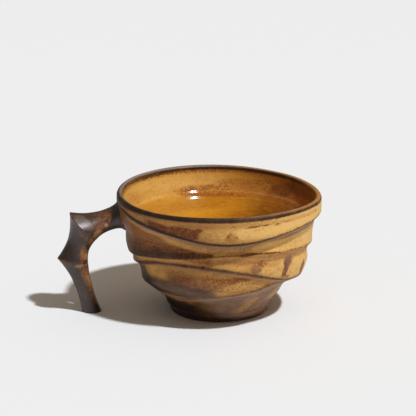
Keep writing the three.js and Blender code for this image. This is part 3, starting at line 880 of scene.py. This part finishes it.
def limb_rows(shape):
    """Rows of points along a limb, from its upper mitre to its lower one."""
    upper, lower = shape["from"], shape["to"]
    angle = np.linspace(0, 2 * math.pi, LIMB_SIDES, endpoint=False)
    outer, inner = limb_side(shape, "outer"), limb_side(shape, "inner")
    middle, half = (outer + inner) / 2, (outer - inner) / 2
    flare = np.abs(2 * LIMB_SHARES - 1) ** LIMB_FLARE
    depth = upper["depth"] + (lower["depth"] - upper["depth"]) * LIMB_SHARES
    depth = depth * (shape["waist"] + (1 - shape["waist"]) * flare)
    point = upper["point"] + (lower["point"] - upper["point"]) * LIMB_SHARES
    rows = middle[:, None, :] + half[:, None, :] * np.cos(angle)[:, None]
    rows[..., 1] = depth / 2 * np.sin(angle) * (1 - point * (1 + np.cos(angle)) / 2)
    shrink = UNEVEN_LIMB * unevenness(rows, UNEVEN_LIMB_SIZE) * np.sin(np.pi * LIMB_SHARES)
    inwards = middle[:, None, :] - rows
    return rows + inwards / np.linalg.norm(inwards, axis=-1, keepdims=True) * shrink[..., None]


def bed_on_wall(rows):
    """Swells the root where it nears the wall, and stops it inside the wall."""
    azimuth = np.arctan2(rows[..., 1], rows[..., 0]) % (2 * math.pi)
    radius = np.hypot(rows[..., 0], rows[..., 1])
    wall = carved_radius(azimuth, rows[..., 2])
    near = np.exp(-np.maximum(radius - wall, 0) / ROOT_FILLET_REACH)
    outwards = rows - rows.mean(axis=1, keepdims=True)
    outwards[..., 0] = 0
    outwards = outwards / np.linalg.norm(outwards, axis=-1, keepdims=True)
    rows = rows + outwards * (ROOT_FILLET * near**2)[..., None]
    stop = wall - ROOT_BITE
    rows[..., 0] = np.where(radius < stop, stop * np.cos(azimuth), rows[..., 0])
    return rows


def limb(name, shape, material, nodes):
    rows = limb_rows(shape)
    if shape is ARM:
        rows = bed_on_wall(rows)
    x, y, z = np.moveaxis(rows, -1, 0)
    fields = start_fields(HANDLE_PAINT, x)
    front = fade_out(*HANDLE_FRONT, y)
    for field, at_x, at_z, *mark in HANDLE_MARKS:
        lay_mark(fields[field], x - at_x, z - at_z, mark, front)
    if shape is not ARM:
        dark, reach = SEAM_AT_START
        lay(fields["dark"], dark, bell(LIMB_SHARES / reach))
    if shape is not LEG:
        dark, reach = SEAM_AT_END
        lay(fields["dark"], dark, bell((1 - LIMB_SHARES) / reach))
    glaze_piece(name, rows, fields, [material], nodes)


class Shader:
    """Builds the node tree of one material."""

    def __init__(self, name, textures=None):
        self.material = bpy.data.materials.new(name)
        self.material.use_nodes = True
        self.tree = self.material.node_tree
        self.surface = self.tree.nodes["Principled BSDF"].inputs
        self.textures = {
            texture: self.noise(*shape) for texture, shape in (textures or {}).items()
        }

    def put(self, socket, value):
        if isinstance(value, bpy.types.NodeSocket):
            self.tree.links.new(value, socket)
        else:
            socket.default_value = value

    def attribute(self, name):
        node = self.tree.nodes.new("ShaderNodeAttribute")
        node.attribute_name = name
        return node.outputs["Fac"]

    def math(self, operation, *values):
        node = self.tree.nodes.new("ShaderNodeMath")
        node.operation = operation
        for socket, value in zip(node.inputs, values):
            self.put(socket, value)
        return node.outputs[0]

    def noise(self, size, detail, stretch):
        """Noise with features of about that size in millimetres, and stretched downwards."""
        place = self.tree.nodes.new("ShaderNodeTexCoord")
        mapping = self.tree.nodes.new("ShaderNodeMapping")
        mapping.inputs["Scale"].default_value = (1, 1, 1 / stretch)
        self.put(mapping.inputs["Vector"], place.outputs["Object"])
        node = self.tree.nodes.new("ShaderNodeTexNoise")
        node.inputs["Scale"].default_value = 1 / (size * MM)
        node.inputs["Detail"].default_value = detail
        node.inputs["Roughness"].default_value = TEXTURE_ROUGHNESS
        self.put(node.inputs["Vector"], mapping.outputs["Vector"])
        return node.outputs["Fac"]

    def stir(self, value, **amounts):
        """Adds textures to a value, each by its amount."""
        for texture, amount in amounts.items():
            wander = self.math("SUBTRACT", self.textures[texture], TEXTURE_MIDDLE)
            value = self.math("ADD", value, self.math("MULTIPLY", wander, amount))
        return value

    def remainder(self, value, share):
        """What that share of a value leaves of 1."""
        return self.math("SUBTRACT", 1, self.math("MULTIPLY", value, share))

    def between(self, value, low, high):
        node = self.tree.nodes.new("ShaderNodeMapRange")
        node.interpolation_type = "SMOOTHSTEP"
        self.put(node.inputs["Value"], value)
        self.put(node.inputs["From Min"], low)
        self.put(node.inputs["From Max"], high)
        return node.outputs["Result"]

    def ramp(self, value, colours):
        node = self.tree.nodes.new("ShaderNodeValToRGB")
        elements = node.color_ramp.elements
        while len(elements) < len(colours):
            elements.new(1)
        for element, (position, colour) in zip(elements, colours):
            element.position = position
            element.color = (*colour, 1)
        self.put(node.inputs["Fac"], value)
        return node.outputs["Color"]

    def mix(self, factor, first, second, blend="MIX"):
        node = self.tree.nodes.new("ShaderNodeMix")
        node.data_type = "RGBA"
        node.blend_type = blend
        sockets = {socket.identifier: socket for socket in (*node.inputs, *node.outputs)}
        self.put(sockets["Factor_Float"], factor)
        for name, colour in (("A_Color", first), ("B_Color", second)):
            self.put(sockets[name], (*colour, 1) if isinstance(colour, tuple) else colour)
        return sockets["Result_Color"]

    def bump(self, height, distance):
        node = self.tree.nodes.new("ShaderNodeBump")
        node.inputs["Distance"].default_value = distance * MM
        self.put(node.inputs["Height"], height)
        self.put(self.surface["Normal"], node.outputs["Normal"])


def glaze_colour(shader, pool, streaks):
    """An ochre or amber ground, then ragged breaks, painted sheen, the pool's tint and specks."""
    inside = shader.attribute("inside")
    calm = shader.remainder(pool, POOL_CALM)
    wander = shader.math("MULTIPLY", shader.stir(0.0, **GROUND_STIR), calm)
    tone = shader.math("ADD", shader.attribute("tone"), wander)
    tone = shader.stir(tone, **TONE_STIR)
    grounds = shader.ramp(tone, OCHRE_COLOURS), shader.ramp(tone, AMBER_COLOURS)
    colour = shader.mix(inside, *grounds)
    rust = shader.stir(shader.attribute("rust"), **RUST_STIR)
    rusts = shader.ramp(rust, RUST_COLOURS), shader.ramp(rust, INSIDE_RUST_COLOURS)
    colour = shader.mix(shader.between(rust, *RUST_COVER), colour, shader.mix(inside, *rusts))
    dark = shader.stir(shader.attribute("dark"), **DARK_STIR, runs=streaks)
    colour = shader.mix(shader.between(dark, *DARK_COVER), colour, DARK_COLOUR)
    # Painted sheen: a grey haze that stands in for reflections of the floor and sky
    painted_sheen = shader.stir(shader.attribute("painted_sheen"), **PAINTED_SHEEN_STIR)
    colour = shader.mix(shader.between(painted_sheen, *PAINTED_SHEEN_COVER), colour, PAINTED_SHEEN_COLOUR)
    colour = shader.mix(pool, colour, POOL_TINT, "MULTIPLY")
    lift = shader.math("MULTIPLY", shader.attribute("speckle"), SPECK_LIFT)
    dust = shader.math("ADD", shader.textures["dust"], lift)
    specks = shader.math("MULTIPLY", shader.between(dust, *SPECK_COVER), calm)
    return shader.mix(shader.math("MULTIPLY", specks, SPECK_STRENGTH), colour, SPECK_COLOUR)


def glaze(name, roughness, specular, streaks=0.0):
    """Iron glaze that is dry and rough where it is thin, and wet where it pools."""
    shader = Shader(name, TEXTURES)
    pooled = shader.stir(shader.attribute("pool"), **POOL_STIR)
    pool = shader.between(pooled, *POOL_COVER)
    wet = shader.between(pooled, *WET_COVER)
    gloss = shader.math("ADD", shader.math("MULTIPLY", wet, -WET_SHINE), roughness)
    relief = shader.stir(shader.textures["runs"], **RELIEF_STIR)
    shader.put(shader.surface["Base Color"], glaze_colour(shader, pool, streaks))
    shader.put(shader.surface["Specular IOR Level"], specular)
    shader.put(shader.surface["Roughness"], shader.stir(gloss, **GLOSS_STIR))
    shader.bump(shader.math("MULTIPLY", relief, shader.remainder(wet, WET_CALM)), RELIEF)
    return shader.material


def plain_floor():
    half = FLOOR_SIZE * MM / 2
    corners = [(-half, -half, 0), (half, -half, 0), (half, half, 0), (-half, half, 0)]
    mesh = bpy.data.meshes.new("floor")
    mesh.from_pydata(corners, [], [(0, 1, 2, 3)])
    shader = Shader("floor")
    shader.put(shader.surface["Base Color"], (*FLOOR_COLOUR, 1))
    shader.put(shader.surface["Roughness"], FLOOR_ROUGHNESS)
    mesh.materials.append(shader.material)
    floor = bpy.data.objects.new("floor", mesh)
    bpy.context.scene.collection.objects.link(floor)


def lamp():
    data = bpy.data.lights.new("lamp", "SUN")
    data.angle = math.radians(LAMP_ANGLE)
    data.color = LAMP_COLOUR
    data.energy = LAMP_STRENGTH
    holder = bpy.data.objects.new("lamp", data)
    rays = Vector((*SHADOW_OFFSET, -MUG_HEIGHT))
    holder.rotation_euler = rays.to_track_quat("-Z", "Y").to_euler()
    bpy.context.scene.collection.objects.link(holder)


def sky():
    """A soft light that grows from the horizon to overhead."""
    world = bpy.data.worlds.new("sky")
    world.use_nodes = True
    nodes, links = world.node_tree.nodes, world.node_tree.links
    background = nodes["Background"]
    background.inputs["Color"].default_value = (*SKY_COLOUR, 1)
    direction = nodes.new("ShaderNodeTexCoord")
    height = nodes.new("ShaderNodeSeparateXYZ")
    strength = nodes.new("ShaderNodeMapRange")
    strength.inputs["To Min"].default_value = SKY_STRENGTH_LEVEL
    strength.inputs["To Max"].default_value = SKY_STRENGTH_ABOVE
    links.new(direction.outputs["Generated"], height.inputs["Vector"])
    links.new(height.outputs["Z"], strength.inputs["Value"])
    links.new(strength.outputs["Result"], background.inputs["Strength"])
    bpy.context.scene.world = world


def camera():
    data = bpy.data.cameras.new("camera")
    data.lens = CAMERA_LENS
    data.sensor_width = CAMERA_SENSOR
    holder = bpy.data.objects.new("camera", data)
    holder.location = Vector(CAMERA_PLACE) * MM
    holder.rotation_euler = (math.radians(90 - CAMERA_DIP), 0, math.radians(CAMERA_TURN))
    bpy.context.scene.collection.objects.link(holder)
    bpy.context.scene.camera = holder


body_glaze = glaze("body_glaze", roughness=0.58, specular=0.18)
inside_glaze = glaze("inside_glaze", roughness=0.45, specular=0.35)
foot_glaze = glaze("foot_glaze", roughness=0.45, specular=0.35)
handle_glaze = glaze("handle_glaze", roughness=0.4, specular=0.65, streaks=0.8)
bowl(body_glaze, inside_glaze)
foot(foot_glaze)
limb("glazed_arm", ARM, handle_glaze, ["handle_arm", "handle_slip_bead"])
limb("glazed_elbow", ELBOW, handle_glaze, ["handle_elbow", "thorn_slip_seam"])
limb("glazed_leg", LEG, handle_glaze, ["handle_leg", "spur_slip_seam"])
plain_floor()
lamp()
sky()
camera()

bpy.context.scene.view_settings.view_transform = "Standard"
